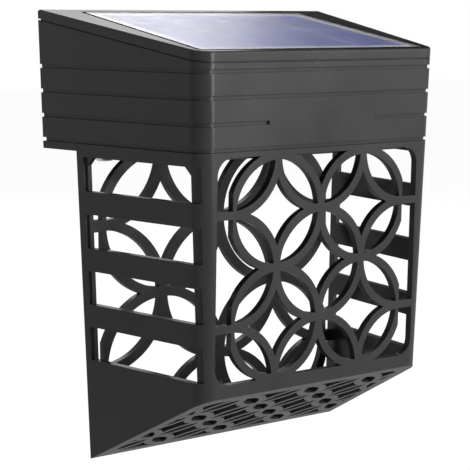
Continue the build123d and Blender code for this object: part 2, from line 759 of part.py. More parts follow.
with BuildPart() as switch_button:
    with BuildSketch(Plane.XY.offset(housing_low_z - button_proud)):
        with Locations((0, switch_y)):
            Circle(button_radius)
    extrude(amount=flange_low_z - housing_low_z + button_proud)
    fillet(faces().sort_by(Axis.Z)[0].edges(), button_edge_round)
    with BuildSketch(Plane.XY.offset(flange_low_z)):
        with Locations((0, switch_y)):
            Circle(button_flange_radius)
    extrude(amount=button_flange_thickness)
    with BuildSketch(Plane.XY.offset(flange_top_z)):
        with Locations((0, switch_y)):
            Circle(button_stem_radius)
    extrude(amount=base_top_z + switch_height - button_travel - running_gap - flange_top_z)
switch_button.part.label = "switch_button"
export_step(switch_button.part, "parts/switch_button.step")

with BuildPart() as button_spring:
    with BuildLine():
        turn = Helix(
            pitch=(button_spring_length - 3 * button_spring_wire) / button_spring_turns,
            height=button_spring_length - 3 * button_spring_wire,
            radius=(button_stem_radius + button_flange_radius) / 2,
            center=(0, switch_y, flange_top_z + 1.5 * button_spring_wire))
    with BuildSketch(Plane(turn @ 0, z_dir=turn % 0)):
        Circle(button_spring_wire)
    sweep()
button_spring.part.label = "button_spring"
export_step(button_spring.part, "parts/button_spring.step")


# ================================================================ internal leads
def wire(points, first, last):
    """One insulated wire through the given points, with its end directions."""
    with BuildPart() as strand:
        with BuildLine():
            path = Spline(*points, tangents=[first, last])
        with BuildSketch(Plane(path @ 0, z_dir=path % 0)):
            Circle(lead_radius)
        sweep()
    return strand.part


down = (0, 0, -1)
pad_top_z = board_top_z + pad_height + fit
lead_start = top_plane.offset(-panel_stack - fit) * Location((0, panel_mid, 0))
lead_y, lead_z = lead_start.position.Y, lead_start.position.Z
holder_top_z = base_top_z + holder_height
over_cell_z = cell_z + cell_radius + 3 * lead_radius

with BuildPart() as solar_leads:
    for side in (-1, 1):
        add(wire([(side * solar_lead_x, lead_y, lead_z), (side * solar_lead_x, lead_y - 1, lead_z - 5),
                  (side * (solar_lead_x + solar_pad_x) / 2, (lead_y + solar_pad_y) / 2, (lead_z + pad_top_z) / 2),
                  (side * solar_pad_x, solar_pad_y, pad_top_z)], down, down))
solar_leads.part.label = "solar_leads"
export_step(solar_leads.part, "parts/solar_leads.step")

with BuildPart() as battery_leads:
    for side in (-1, 1):
        tab_x = side * (room_length / 2 - contact_thickness / 2)
        add(wire([(tab_x, cell_y - contact_size / 3, contact_z + contact_size / 2 + fit),
                  (tab_x, cell_y - cell_radius - holder_wall, holder_top_z + 5 * lead_radius),
                  (side * battery_pad_x, battery_pad_y, pad_top_z)], (0, 0, 1), down))
battery_leads.part.label = "battery_leads"
export_step(battery_leads.part, "parts/battery_leads.step")

with BuildPart() as switch_leads:
    for side in (-1, 1):
        add(wire([(side * 3, switch_y, base_top_z + switch_height + fit),
                  (side * 4, cell_y + cell_radius, over_cell_z - 1),
                  (side * 5, cell_y - cell_radius / 2, over_cell_z),
                  (side * 6, (cell_y + switch_pad_y) / 2, (over_cell_z + pad_top_z) / 2),
                  (side * switch_pad_x, switch_pad_y, pad_top_z)], (0, 0, 1), down))
switch_leads.part.label = "switch_leads"
export_step(switch_leads.part, "parts/switch_leads.step")
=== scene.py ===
# %% [markdown]
# # A solar fence light
# The lamp hangs on a wall or a fence post. A grooved housing holds a small solar panel and a
# rechargeable cell, and a pierced, tapered lantern hangs below it. The CAD model gives every piece
# its shape and place. This script gives the pieces their finishes, adds the fine printed and wound
# details that CAD leaves out, and sets up the camera and the light of a product photograph.

# %% Load the CAD model
import bpy
import math
from mathutils import Matrix, Vector


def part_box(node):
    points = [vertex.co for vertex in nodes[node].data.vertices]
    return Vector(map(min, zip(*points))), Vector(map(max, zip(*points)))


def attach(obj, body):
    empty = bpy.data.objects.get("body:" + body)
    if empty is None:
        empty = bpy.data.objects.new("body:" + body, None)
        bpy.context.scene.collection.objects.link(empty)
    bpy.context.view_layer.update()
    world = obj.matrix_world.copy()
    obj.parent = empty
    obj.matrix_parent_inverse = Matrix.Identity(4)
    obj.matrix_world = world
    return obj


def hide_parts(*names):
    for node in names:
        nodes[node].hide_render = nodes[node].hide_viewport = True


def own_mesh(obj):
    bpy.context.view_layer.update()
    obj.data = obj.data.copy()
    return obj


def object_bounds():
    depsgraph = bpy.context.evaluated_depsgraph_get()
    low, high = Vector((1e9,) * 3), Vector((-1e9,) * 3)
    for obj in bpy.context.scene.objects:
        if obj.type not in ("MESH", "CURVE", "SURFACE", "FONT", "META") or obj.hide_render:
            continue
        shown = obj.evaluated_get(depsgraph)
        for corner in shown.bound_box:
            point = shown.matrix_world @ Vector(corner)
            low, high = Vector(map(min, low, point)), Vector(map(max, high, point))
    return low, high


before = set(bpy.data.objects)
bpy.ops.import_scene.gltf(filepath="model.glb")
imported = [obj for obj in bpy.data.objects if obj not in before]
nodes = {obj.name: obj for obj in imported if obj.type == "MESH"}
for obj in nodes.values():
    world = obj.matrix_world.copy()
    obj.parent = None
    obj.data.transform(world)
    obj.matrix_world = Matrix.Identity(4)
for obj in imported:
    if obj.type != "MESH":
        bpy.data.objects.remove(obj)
cad_low, cad_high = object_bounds()
print("CAD box in mm:", [round(1000 * v, 1) for v in (*cad_low, *cad_high)])

# %% [markdown]
# Sizes are easier to read in millimetres, and colours in the hex values of a paint chart. Blender
# counts in metres and in linear light, so a number and a function do the conversions in one place.

# %% Millimetres and colours
MM = 0.001


def linear(hex_colour):
    """An sRGB hex colour as linear RGBA."""
    channels = [int(hex_colour[i:i + 2], 16) / 255 for i in (1, 3, 5)]
    return (*[c / 12.92 if c <= 0.04045 else ((c + 0.055) / 1.055) ** 2.4 for c in channels], 1.0)


WHITE = linear("#ffffff")
print("mid grey in linear light:", [round(c, 3) for c in linear("#808080")[:3]])

# %% [markdown]
# A material is a tree of nodes. One function adds a node of any kind: it sets the node's options
# and values, links its inputs, which may be named or numbered, and gives a colour ramp its stops.
# Each finish below then reads as a short recipe. The same function builds the Geometry Nodes trees
# further down.

# %% Helpers for node trees


def new_finish(name):
    """An empty material and its node tree."""
    finish = bpy.data.materials.new(name)
    finish.use_nodes = True
    finish.node_tree.nodes.clear()
    return finish, finish.node_tree


def add_node(tree, kind, options=None, values=None, links=None, stops=()):
    """One node with its options, its socket values, its incoming links and a ramp's stops."""
    node = tree.nodes.new(kind)
    for key, value in (options or {}).items():
        setattr(node, key, value)
    for key, value in (values or {}).items():
        node.inputs[key].default_value = value
    for key, socket in (links or {}).items():
        tree.links.new(socket, node.inputs[key])
    for _ in stops[2:]:
        node.color_ramp.elements.new(1.0)
    for index, (position, hex_colour) in enumerate(stops):
        element = node.color_ramp.elements[index]
        element.position, element.color = position, linear(hex_colour)
    return node


def paint(names, finish):
    """Gives a finish to CAD nodes."""
    for name in names:
        slots = nodes[name].data.materials
        slots.clear()
        slots.append(finish)
    print(finish.name, "on", ", ".join(names))


# %% [markdown]
# The housing and the lantern are injection-moulded ABS in a charcoal black. The mould was spark
# eroded, which leaves a fine satin texture: it spreads the light a little and hides scratches. It
# also breaks up most of the mirror that smooth ABS has, even at a flat angle, where the white
# surroundings would turn the black sides grey. So the mirror is a coat with a share of 0.3, which
# weakens it at every angle, and there is none under the coat.
#
# A coarse noise varies the colour and the gloss, as the flow of the plastic does. A fine one is the
# grain of the mould, drawn at 0.3 mm because its true size of about 0.05 mm would not show. No
# moulded edge is quite sharp, so a Bevel node turns the light round each one over 0.2 mm, which
# gives it a thin bright line.

# %% Moulded ABS
ABS_IOR, COAT_SHARE = 1.54, 0.3
MOULD_EDGE, FLOW_SIZE = 0.2 * MM, 18 * MM


def moulded(name, low_hex, high_hex, roughness, grain_size, grain_depth):
    """Satin plastic from a textured mould."""
    finish, tree = new_finish(name)
    place = add_node(tree, "ShaderNodeTexCoord").outputs["Object"]
    flow = add_node(tree, "ShaderNodeTexNoise", values={"Scale": 1 / FLOW_SIZE, "Detail": 3.0},
                    links={"Vector": place})
    grain = add_node(tree, "ShaderNodeTexNoise", values={"Scale": 1 / grain_size, "Detail": 1.0},
                     links={"Vector": place})
    tint = add_node(tree, "ShaderNodeValToRGB", links={"Fac": flow.outputs["Fac"]},
                    stops=[(0.35, low_hex), (0.65, high_hex)])
    gloss = add_node(tree, "ShaderNodeMapRange",
                     values={"From Min": 0.3, "From Max": 0.7,
                             "To Min": roughness - 0.03, "To Max": roughness + 0.03},
                     links={"Value": flow.outputs["Fac"]})
    edge = add_node(tree, "ShaderNodeBevel", {"samples": 6}, {"Radius": MOULD_EDGE})
    bump = add_node(tree, "ShaderNodeBump", values={"Strength": 0.3, "Distance": grain_depth},
                    links={"Height": grain.outputs["Fac"], "Normal": edge.outputs["Normal"]})
    surface = add_node(tree, "ShaderNodeBsdfPrincipled",
                       values={"Specular IOR Level": 0.0, "Coat Weight": COAT_SHARE,
                               "Coat IOR": ABS_IOR},
                       links={"Base Color": tint.outputs["Color"],
                              "Coat Roughness": gloss.outputs["Result"],
                              "Normal": bump.outputs["Normal"],
                              "Coat Normal": bump.outputs["Normal"]})
    add_node(tree, "ShaderNodeOutputMaterial", links={"Surface": surface.outputs["BSDF"]})
    return finish


paint(["solar_lid", "housing_shell", "base_plate", "cage"],
      moulded("abs_charcoal_spark_eroded", "#2d2d2e", "#313132",
              roughness=0.25, grain_size=0.3 * MM, grain_depth=0.02 * MM))
paint(["battery_holder", "switch_body"],
      moulded("abs_black_polished_mould", "#1c1c1e", "#222224",
              roughness=0.25, grain_size=0.8 * MM, grain_depth=0.01 * MM))

# %% [markdown]
# The panel is a small board with eight polycrystalline cells under clear cast resin. Etched silicon
# shows its crystals as patches that catch the light differently, in the violet blue of its
# anti-glare coating. A Voronoi pattern gives each patch, about 4 mm across, its shade and gloss.

# %% Silicon cells
CRYSTAL_SIZE = 4 * MM
silicon, tree = new_finish("silicon_etched_blue")
place = add_node(tree, "ShaderNodeTexCoord").outputs["Object"]
crystals = add_node(tree, "ShaderNodeTexVoronoi", {"feature": "F1"}, {"Scale": 1 / CRYSTAL_SIZE},
                    {"Vector": place})
shade = add_node(tree, "ShaderNodeSeparateColor", links={"Color": crystals.outputs["Color"]})
tint = add_node(tree, "ShaderNodeValToRGB", links={"Fac": shade.outputs["Red"]},
                stops=[(0.0, "#3a4190"), (0.5, "#444ba0"), (1.0, "#4e56ae")])
gloss = add_node(tree, "ShaderNodeMapRange", values={"To Min": 0.22, "To Max": 0.34},
                 links={"Value": shade.outputs["Green"]})
surface = add_node(tree, "ShaderNodeBsdfPrincipled", values={"IOR": 1.9},
                   links={"Base Color": tint.outputs["Color"],
                          "Roughness": gloss.outputs["Result"]})
add_node(tree, "ShaderNodeOutputMaterial", links={"Surface": surface.outputs["BSDF"]})
paint(["solar_cells"], silicon)

# %% [markdown]
# The board under the cells is glass-fibre laminate. Its grey is painted shade: the board is white,
# and the grey stands for its shadow down in the narrow gaps between the cells. The same grey also
# shows as a frame round the cells. A fine noise stands for the weave of the glass, which shows
# faintly through the grey.

# %% Board under the cells
WEAVE_SIZE = 0.8 * MM
laminate, tree = new_finish("glass_fibre_painted_gap_shade")
place = add_node(tree, "ShaderNodeTexCoord").outputs["Object"]
weave = add_node(tree, "ShaderNodeTexNoise", values={"Scale": 1 / WEAVE_SIZE, "Detail": 2.0},
                 links={"Vector": place})
# The grey is painted shade for the white board in the gaps between the cells.
gap_shade = add_node(tree, "ShaderNodeValToRGB", links={"Fac": weave.outputs["Fac"]},
                stops=[(0.3, "#85868b"), (0.7, "#8e8f94")])
surface = add_node(tree, "ShaderNodeBsdfPrincipled", values={"Roughness": 0.45},
                   links={"Base Color": gap_shade.outputs["Color"]})
add_node(tree, "ShaderNodeOutputMaterial", links={"Surface": surface.outputs["BSDF"]})
paint(["panel_backing"], laminate)

# %% [markdown]
# The panel lies in the sloping lid. How steep it is comes from the cells themselves, from their
# foremost corners to their rearmost ones. The cover's pattern and the print on the cells are laid
# out along it. The foremost corners are on the cells' top and the rearmost ones on their underside,
# 0.3 mm lower, so the angle comes out 0.4 degrees flatter than the lid's. The print touches the
# cells at the rear and stands 0.3 mm above them at the front, inside the resin.

# %% The slope and the field of cells
EDGE_POINTS = 8
cell_points = [nodes["solar_cells"].matrix_world @ v.co for v in nodes["solar_cells"].data.vertices]
by_depth = sorted(cell_points, key=lambda p: p.y)
front_edge = max(by_depth[:EDGE_POINTS], key=lambda p: p.z)
rear_edge = max(by_depth[-EDGE_POINTS:], key=lambda p: p.z)
slope = math.atan2(rear_edge.z - front_edge.z, rear_edge.y - front_edge.y)
up_slope = Vector((0, math.cos(slope), math.sin(slope)))
out_of_lid = Vector((0, -math.sin(slope), math.cos(slope)))
cell_x, cell_v = [p.x for p in cell_points], [p.dot(up_slope) for p in cell_points]
cell_top = max(p.dot(out_of_lid) for p in cell_points)
field_width, field_length = max(cell_x) - min(cell_x), max(cell_v) - min(cell_v)
field_middle = (max(cell_v) + min(cell_v)) / 2
print("slope", round(math.degrees(slope), 2), "degrees; cell field in mm:",
      round(field_width / MM, 1), "x", round(field_length / MM, 1))

# %% [markdown]
# The cover is clear epoxy poured over the cells, and a little hazy from its matt release film, so
# that reflections fade softly across it. Waves over about 15 mm make them swim. A black band is
# painted round its edge, where it meets the lid. It is painted shade, the shadow in the gap between
# the lid's rim and the panel, and it is the thin dark line that frames the panel. A Mapping node
# turns the pattern with the slope, and two comparisons, one across and one up the slope, tell the
# clear field from the painted shadow band.

# %% Cast resin cover
# The first width is that of the black band painted round the cover's edge as shade in the gap at
# the lid's rim.
SHADOW_GAP_WIDTH, HAZE_SIZE = 0.7 * MM, 4 * MM
WAVE_SIZE, WAVE_HEIGHT = 15 * MM, 0.04 * MM
cover_points = [nodes["panel_cover"].matrix_world @ v.co
                for v in nodes["panel_cover"].data.vertices]
cover_x, cover_v = [p.x for p in cover_points], [p.dot(up_slope) for p in cover_points]
clear_across = (0.0, max(cover_x) - SHADOW_GAP_WIDTH)
clear_along = ((max(cover_v) + min(cover_v)) / 2,
               (max(cover_v) - min(cover_v)) / 2 - SHADOW_GAP_WIDTH)

resin, tree = new_finish("epoxy_cast_clear")
place = add_node(tree, "ShaderNodeTexCoord").outputs["Object"]
waves = add_node(tree, "ShaderNodeTexNoise", values={"Scale": 1 / WAVE_SIZE, "Detail": 1.0},
                 links={"Vector": place})
haze = add_node(tree, "ShaderNodeTexNoise", values={"Scale": 1 / HAZE_SIZE, "Detail": 4.0},
                links={"Vector": place})
gloss = add_node(tree, "ShaderNodeMapRange",
                 values={"From Min": 0.3, "From Max": 0.7, "To Min": 0.4, "To Max": 0.46},
                 links={"Value": haze.outputs["Fac"]})
bump = add_node(tree, "ShaderNodeBump", values={"Strength": 0.4, "Distance": WAVE_HEIGHT},
                links={"Height": waves.outputs["Fac"]})
turned = add_node(tree, "ShaderNodeMapping", {"vector_type": "POINT"},
                  {"Rotation": (-slope, 0, 0)}, {"Vector": place})
axes = add_node(tree, "ShaderNodeSeparateXYZ", links={"Vector": turned.outputs["Vector"]})
inside = [add_node(tree, "ShaderNodeMath", {"operation": "COMPARE"}, {1: middle, 2: reach},
                   {0: axes.outputs[axis]}).outputs["Value"]
          for axis, (middle, reach) in {"X": clear_across, "Y": clear_along}.items()]
field = add_node(tree, "ShaderNodeMath", {"operation": "MULTIPLY"},
                 links={0: inside[0], 1: inside[1]}).outputs["Value"]
# Outside the clear field the cover is painted near black with no mirror: painted shade for the gap
# round its edge.
tint = add_node(tree, "ShaderNodeMix", {"data_type": "RGBA"},
                {"A": linear("#101011"), "B": linear("#f6f7ff")}, {"Factor": field})
shine = add_node(tree, "ShaderNodeMapRange", values={"To Min": 0.0, "To Max": 0.5},
                 links={"Value": field})
surface = add_node(tree, "ShaderNodeBsdfPrincipled", values={"IOR": 1.52},
                   links={"Base Color": tint.outputs["Result"], "Transmission Weight": field,
                          "Specular IOR Level": shine.outputs["Result"],
                          "Roughness": gloss.outputs["Result"],
                          "Normal": bump.outputs["Normal"]})
add_node(tree, "ShaderNodeOutputMaterial", links={"Surface": surface.outputs["BSDF"]})
paint(["panel_cover"], resin)

# %% [markdown]
# Geometry Nodes make what repeats or follows a rule. One function starts a tree with named inputs
# for the piece's sizes. The other ends it with Realize Instances and Set Material, fills in the
# sizes by each socket's identifier, runs it once and keeps the outcome as a plain mesh, because the
# export drops instances.

# %% Helpers for grown pieces
FLOAT, COUNT, VECTOR = "NodeSocketFloat", "NodeSocketInt", "NodeSocketVector"


def new_grower(name, sizes):
    """A Geometry Nodes tree, and its named inputs, each given as a kind of socket and a value."""
    tree = bpy.data.node_groups.new(name, "GeometryNodeTree")
    tree.interface.new_socket("Geometry", in_out="INPUT", socket_type="NodeSocketGeometry")
    for size, (kind, _) in sizes.items():
        tree.interface.new_socket(size, in_out="INPUT", socket_type=kind)
    tree.interface.new_socket("Geometry", in_out="OUTPUT", socket_type="NodeSocketGeometry")
    sockets = add_node(tree, "NodeGroupInput").outputs
    return tree, {size: sockets[size] for size in sizes}


def grow(name, tree, result, finish, sizes, body):
    """Runs a tree on an empty mesh and keeps the outcome as a plain mesh piece."""
    solid = add_node(tree, "GeometryNodeRealizeInstances", links={"Geometry": result})
    dressed = add_node(tree, "GeometryNodeSetMaterial", values={"Material": finish},
                       links={"Geometry": solid.outputs["Geometry"]})
    add_node(tree, "NodeGroupOutput", links={"Geometry": dressed.outputs["Geometry"]})
    piece = bpy.data.objects.new(name, bpy.data.meshes.new(name + "_seed"))
    bpy.context.scene.collection.objects.link(piece)
    modifier = piece.modifiers.new("grow", "NODES")
    modifier.node_group = tree
    for item in tree.interface.items_tree:
        if item.in_out == "INPUT" and item.name in sizes:
            modifier[item.identifier] = sizes[item.name][1]
    evaluated = piece.evaluated_get(bpy.context.evaluated_depsgraph_get())
    mesh = bpy.data.meshes.new_from_object(evaluated)
    piece.modifiers.remove(modifier)
    piece.data = mesh
    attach(piece, body)
    print(name, "has", len(mesh.polygons), "faces")
    return piece


# %% [markdown]
# Silver paste is screen-printed on every cell. Fired paste is metal grains in glass, so it is only
# partly metallic, and matt. A fine noise gives it the mottle of the screen.

# %% Silver paste
PASTE_GRAIN = 0.4 * MM
silver, tree = new_finish("silver_paste_screen_printed")
place = add_node(tree, "ShaderNodeTexCoord").outputs["Object"]
paste = add_node(tree, "ShaderNodeTexNoise", values={"Scale": 1 / PASTE_GRAIN, "Detail": 2.0},
                 links={"Vector": place})
tint = add_node(tree, "ShaderNodeValToRGB", links={"Fac": paste.outputs["Fac"]},
                stops=[(0.3, "#9a9ba0"), (0.7, "#b2b3b8")])
surface = add_node(tree, "ShaderNodeBsdfPrincipled", values={"Metallic": 0.6, "Roughness": 0.5},
                   links={"Base Color": tint.outputs["Color"]})
add_node(tree, "ShaderNodeOutputMaterial", links={"Surface": surface.outputs["BSDF"]})
print("silver paste with a grain of", PASTE_GRAIN / MM, "mm")

# %% [markdown]
# The print is one busbar along each cell's edge, and thin fingers that gather the current. It
# repeats exactly, so it is grown from a few sizes. First come the sums: each line of the table
# makes a new length from two others, or from one and a number.

# %% Sizes of the print
CELL_COLUMNS, CELL_ROWS = 4, 2
CELL_GAP, PRINT_HEIGHT, PRINT_EDGE = 0.5 * MM, 0.03 * MM, 0.5 * MM
FINGER_PITCH, FINGER_WIDTH, BUSBAR_WIDTH = 1.9 * MM, 0.12 * MM, 0.6 * MM
cell_width = (field_width + CELL_GAP) / CELL_COLUMNS - CELL_GAP
cell_length = (field_length + CELL_GAP) / CELL_ROWS - CELL_GAP
print_place = field_middle * up_slope + (cell_top + PRINT_HEIGHT / 2) * out_of_lid
print_sizes = {
    "Cell width": (FLOAT, cell_width), "Cell length": (FLOAT, cell_length),
    "Columns": (COUNT, CELL_COLUMNS), "Rows": (COUNT, CELL_ROWS), "Gap": (FLOAT, CELL_GAP),
    "Fingers": (COUNT, int(cell_length / FINGER_PITCH)), "Finger width": (FLOAT, FINGER_WIDTH),
    "Busbar width": (FLOAT, BUSBAR_WIDTH), "Edge": (FLOAT, PRINT_EDGE),
    "Height": (FLOAT, PRINT_HEIGHT), "Place": (VECTOR, tuple(print_place)),
    "Slope": (FLOAT, slope)}
tree, size = new_grower("cell_print", print_sizes)
for name, operation, *terms in (
        ("Margins", "MULTIPLY", "Edge", 2.0),
        ("Finger length", "SUBTRACT", "Cell width", "Margins"),
        ("Usable length", "SUBTRACT", "Cell length", "Margins"),
        ("Finger gaps", "SUBTRACT", "Fingers", 1.0),
        ("Finger step", "DIVIDE", "Usable length", "Finger gaps"),
        ("First finger", "MULTIPLY", "Usable length", -0.5),
        ("Half width", "MULTIPLY", "Cell width", 0.5),
        ("Busbar offset", "SUBTRACT", "Half width", "Edge"),
        ("Column pitch", "ADD", "Cell width", "Gap"),
        ("Row pitch", "ADD", "Cell length", "Gap"),
        ("Column steps", "SUBTRACT", "Columns", 1.0),
        ("Row steps", "SUBTRACT", "Rows", 1.0),
        ("Grid width", "MULTIPLY", "Column pitch", "Column steps"),
        ("Grid length", "MULTIPLY", "Row pitch", "Row steps")):
    numbers = {i: term for i, term in enumerate(terms) if not isinstance(term, str)}
    lengths = {i: size[term] for i, term in enumerate(terms) if isinstance(term, str)}
    size[name] = add_node(tree, "ShaderNodeMath", {"operation": operation}, numbers,
                          lengths).outputs["Value"]
print("a cell is", round(cell_width / MM, 2), "x", round(cell_length / MM, 2), "mm, with",
      print_sizes["Fingers"][1], "fingers")

# %% [markdown]
# Then the lengths become sizes and places, and these the print: a row of fingers and a busbar make
# one cell's print, which is set on a grid of cells and tilted with the slope.

# %% Silver print on the cells
vector = {}
for name, parts in {
        "Finger size": {"X": "Finger length", "Y": "Finger width", "Z": "Height"},
        "Busbar size": {"X": "Busbar width", "Y": "Usable length", "Z": "Height"},
        "Row start": {"Y": "First finger"}, "Row step": {"Y": "Finger step"},
        "Busbar place": {"X": "Busbar offset"}, "Tilt": {"X": "Slope"}}.items():
    vector[name] = add_node(tree, "ShaderNodeCombineXYZ", links={
        axis: size[part] for axis, part in parts.items()}).outputs["Vector"]
finger = add_node(tree, "GeometryNodeMeshCube", links={"Size": vector["Finger size"]})
row = add_node(tree, "GeometryNodeMeshLine", links={
    "Count": size["Fingers"], "Start Location": vector["Row start"],
    "Offset": vector["Row step"]})
fingers = add_node(tree, "GeometryNodeInstanceOnPoints", links={
    "Points": row.outputs["Mesh"], "Instance": finger.outputs["Mesh"]})
busbar = add_node(tree, "GeometryNodeMeshCube", links={"Size": vector["Busbar size"]})
edge_bar = add_node(tree, "GeometryNodeTransform", links={
    "Geometry": busbar.outputs["Mesh"], "Translation": vector["Busbar place"]})
one_cell = add_node(tree, "GeometryNodeJoinGeometry", links={
    "Geometry": fingers.outputs["Instances"]})
tree.links.new(edge_bar.outputs["Geometry"], one_cell.inputs["Geometry"])
grid = add_node(tree, "GeometryNodeMeshGrid", links={
    "Size X": size["Grid width"], "Size Y": size["Grid length"],
    "Vertices X": size["Columns"], "Vertices Y": size["Rows"]})
prints = add_node(tree, "GeometryNodeInstanceOnPoints", links={
    "Points": grid.outputs["Mesh"], "Instance": one_cell.outputs["Geometry"]})
laid = add_node(tree, "GeometryNodeTransform", links={
    "Geometry": prints.outputs["Instances"], "Translation": size["Place"],
    "Rotation": vector["Tilt"]})
grow("cell_print", tree, laid.outputs["Geometry"], silver, print_sizes, "lamp")

# %% [markdown]
# Metal parts are plated steel and nickel. Plating follows the drawn wire and the turned heads under
# it, so a noise that is short in one direction streaks the colour and the gloss. A metal keeps the
# default IOR.

# %% Plated metals
STREAK_SQUEEZE = 8.0


def plated(name, low_hex, high_hex, roughness, streak_size):
    """Plated metal with fine streaks across its height."""
    finish, tree = new_finish(name)
    place = add_node(tree, "ShaderNodeTexCoord").outputs["Object"]
    drawn = add_node(tree, "ShaderNodeMapping", {"vector_type": "POINT"},
                     {"Scale": (1.0, 1.0, STREAK_SQUEEZE)}, {"Vector": place})
    streaks = add_node(tree, "ShaderNodeTexNoise",
                       values={"Scale": 1 / streak_size, "Detail": 4.0},
                       links={"Vector": drawn.outputs["Vector"]})
    tint = add_node(tree, "ShaderNodeValToRGB", links={"Fac": streaks.outputs["Fac"]},
                    stops=[(0.3, low_hex), (0.7, high_hex)])
    gloss = add_node(tree, "ShaderNodeMapRange",
                     values={"From Min": 0.3, "From Max": 0.7,
                             "To Min": roughness - 0.08, "To Max": roughness + 0.08},
                     links={"Value": streaks.outputs["Fac"]})
    surface = add_node(tree, "ShaderNodeBsdfPrincipled", values={"Metallic": 1.0},
                       links={"Base Color": tint.outputs["Color"],
                              "Roughness": gloss.outputs["Result"]})
    add_node(tree, "ShaderNodeOutputMaterial", links={"Surface": surface.outputs["BSDF"]})
    return finish


nickel = plated("nickel_plated_drawn", "#b0aea4", "#c6c4ba", roughness=0.3, streak_size=1.2 * MM)
paint(["base_screws", "board_screws"],
      plated("steel_zinc_plated", "#a4a5a8", "#bcbdc0", roughness=0.32, streak_size=0.8 * MM))
paint(["contact_spring", "contact_plate"], nickel)

# %% [markdown]
# The button's return spring is wound wire, so its shape is a rule: a spiral with a round profile.
# It is grown from the sizes of the space that the CAD spring fills and takes that node's place.

# %% Return spring
WIRE_RADIUS, SPRING_TURNS = 0.2 * MM, 3.0
spring_low, spring_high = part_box("button_spring")
spring_middle_y = (spring_high[1] + spring_low[1]) / 2
spring_sizes = {
    "Turns": (FLOAT, SPRING_TURNS),
    "Radius": (FLOAT, (spring_high[0] - spring_low[0]) / 2 - WIRE_RADIUS),
    "Height": (FLOAT, spring_high[2] - spring_low[2] - 2 * WIRE_RADIUS),
    "Wire radius": (FLOAT, WIRE_RADIUS),
    "Place": (VECTOR, (0.0, spring_middle_y, spring_low[2] + WIRE_RADIUS))}
tree, size = new_grower("wound_spring", spring_sizes)
spiral = add_node(tree, "GeometryNodeCurveSpiral", values={"Resolution": 32}, links={
    "Rotations": size["Turns"], "Start Radius": size["Radius"], "End Radius": size["Radius"],
    "Height": size["Height"]})
wire_end = add_node(tree, "GeometryNodeCurvePrimitiveCircle", {"mode": "RADIUS"},
                    {"Resolution": 10}, {"Radius": size["Wire radius"]})
wound = add_node(tree, "GeometryNodeCurveToMesh", values={"Fill Caps": True}, links={
    "Curve": spiral.outputs["Curve"], "Profile Curve": wire_end.outputs["Curve"]})
stood = add_node(tree, "GeometryNodeTransform", links={
    "Geometry": wound.outputs["Mesh"], "Translation": size["Place"]})
spring = grow("return_spring", tree, stood.outputs["Geometry"], nickel, spring_sizes, "lamp")
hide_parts("button_spring")
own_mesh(spring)

# %% [markdown]
# Rubber parts are compression moulded and a little dusty. The gasket is silicone, and so is the
# button's cap, whose skin is matt where a finger rubs it.

# %% Rubber
BLOOM_SIZE, SKIN_GRAIN, SKIN_DEPTH = 2.5 * MM, 0.25 * MM, 0.03 * MM


def rubber(name, low_hex, high_hex, roughness):
    """Matt moulded rubber with a dusty bloom."""
    finish, tree = new_finish(name)
    place = add_node(tree, "ShaderNodeTexCoord").outputs["Object"]
    bloom = add_node(tree, "ShaderNodeTexNoise", values={"Scale": 1 / BLOOM_SIZE, "Detail": 5.0},
                     links={"Vector": place})
    skin = add_node(tree, "ShaderNodeTexNoise", values={"Scale": 1 / SKIN_GRAIN, "Detail": 1.0},
                    links={"Vector": place})
    tint = add_node(tree, "ShaderNodeValToRGB", links={"Fac": bloom.outputs["Fac"]},
                    stops=[(0.35, low_hex), (0.7, high_hex)])
    bump = add_node(tree, "ShaderNodeBump", values={"Strength": 0.35, "Distance": SKIN_DEPTH},
                    links={"Height": skin.outputs["Fac"]})
    surface = add_node(tree, "ShaderNodeBsdfPrincipled",
                       values={"Roughness": roughness, "IOR": 1.41},
                       links={"Base Color": tint.outputs["Color"],
                              "Normal": bump.outputs["Normal"]})
    add_node(tree, "ShaderNodeOutputMaterial", links={"Surface": surface.outputs["BSDF"]})
    return finish


paint(["lid_gasket"], rubber("silicone_rubber_black", "#151516", "#1f1f21", roughness=0.6))
paint(["switch_button"], rubber("silicone_rubber_grey", "#2a2a2c", "#353538", roughness=0.62))

# %% [markdown]
# The light source sits behind a clear polycarbonate lens. Moulding leaves slow swirls in the lens,
# which vary how sharply it is seen through.

# %% Lens
SWIRL_SIZE = 6 * MM
lens, tree = new_finish("polycarbonate_moulded_clear")
place = add_node(tree, "ShaderNodeTexCoord").outputs["Object"]
swirl = add_node(tree, "ShaderNodeTexNoise", values={"Scale": 1 / SWIRL_SIZE, "Detail": 2.0},
                 links={"Vector": place})
gloss = add_node(tree, "ShaderNodeMapRange",
                 values={"From Min": 0.3, "From Max": 0.7, "To Min": 0.06, "To Max": 0.12},
                 links={"Value": swirl.outputs["Fac"]})
surface = add_node(tree, "ShaderNodeBsdfPrincipled",
                   values={"Base Color": linear("#eef1f4"), "IOR": 1.58,
                           "Transmission Weight": 1.0},
                   links={"Roughness": gloss.outputs["Result"]})
add_node(tree, "ShaderNodeOutputMaterial", links={"Surface": surface.outputs["BSDF"]})
paint(["led_lens"], lens)

# %% [markdown]
# The light source's body is water-clear epoxy with the soft yellow of phosphor low inside. Both are
# one solid in CAD, so a ramp over its height draws the phosphor.

# %% Light source
led_low, led_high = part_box("led")
epoxy, tree = new_finish("epoxy_led_phosphor")
place = add_node(tree, "ShaderNodeTexCoord").outputs["Object"]
axes = add_node(tree, "ShaderNodeSeparateXYZ", links={"Vector": place})
height = add_node(tree, "ShaderNodeMapRange",
                  values={"From Min": led_low[2], "From Max": led_high[2]},
                  links={"Value": axes.outputs["Z"]})
tint = add_node(tree, "ShaderNodeValToRGB", links={"Fac": height.outputs["Result"]},
                stops=[(0.2, "#e9e6d2"), (0.45, "#efd97e"), (0.7, "#d8d6cc")])
surface = add_node(tree, "ShaderNodeBsdfPrincipled", values={"Roughness": 0.12, "IOR": 1.52},
                   links={"Base Color": tint.outputs["Color"]})
add_node(tree, "ShaderNodeOutputMaterial", links={"Surface": surface.outputs["BSDF"]})
paint(["led"], epoxy)

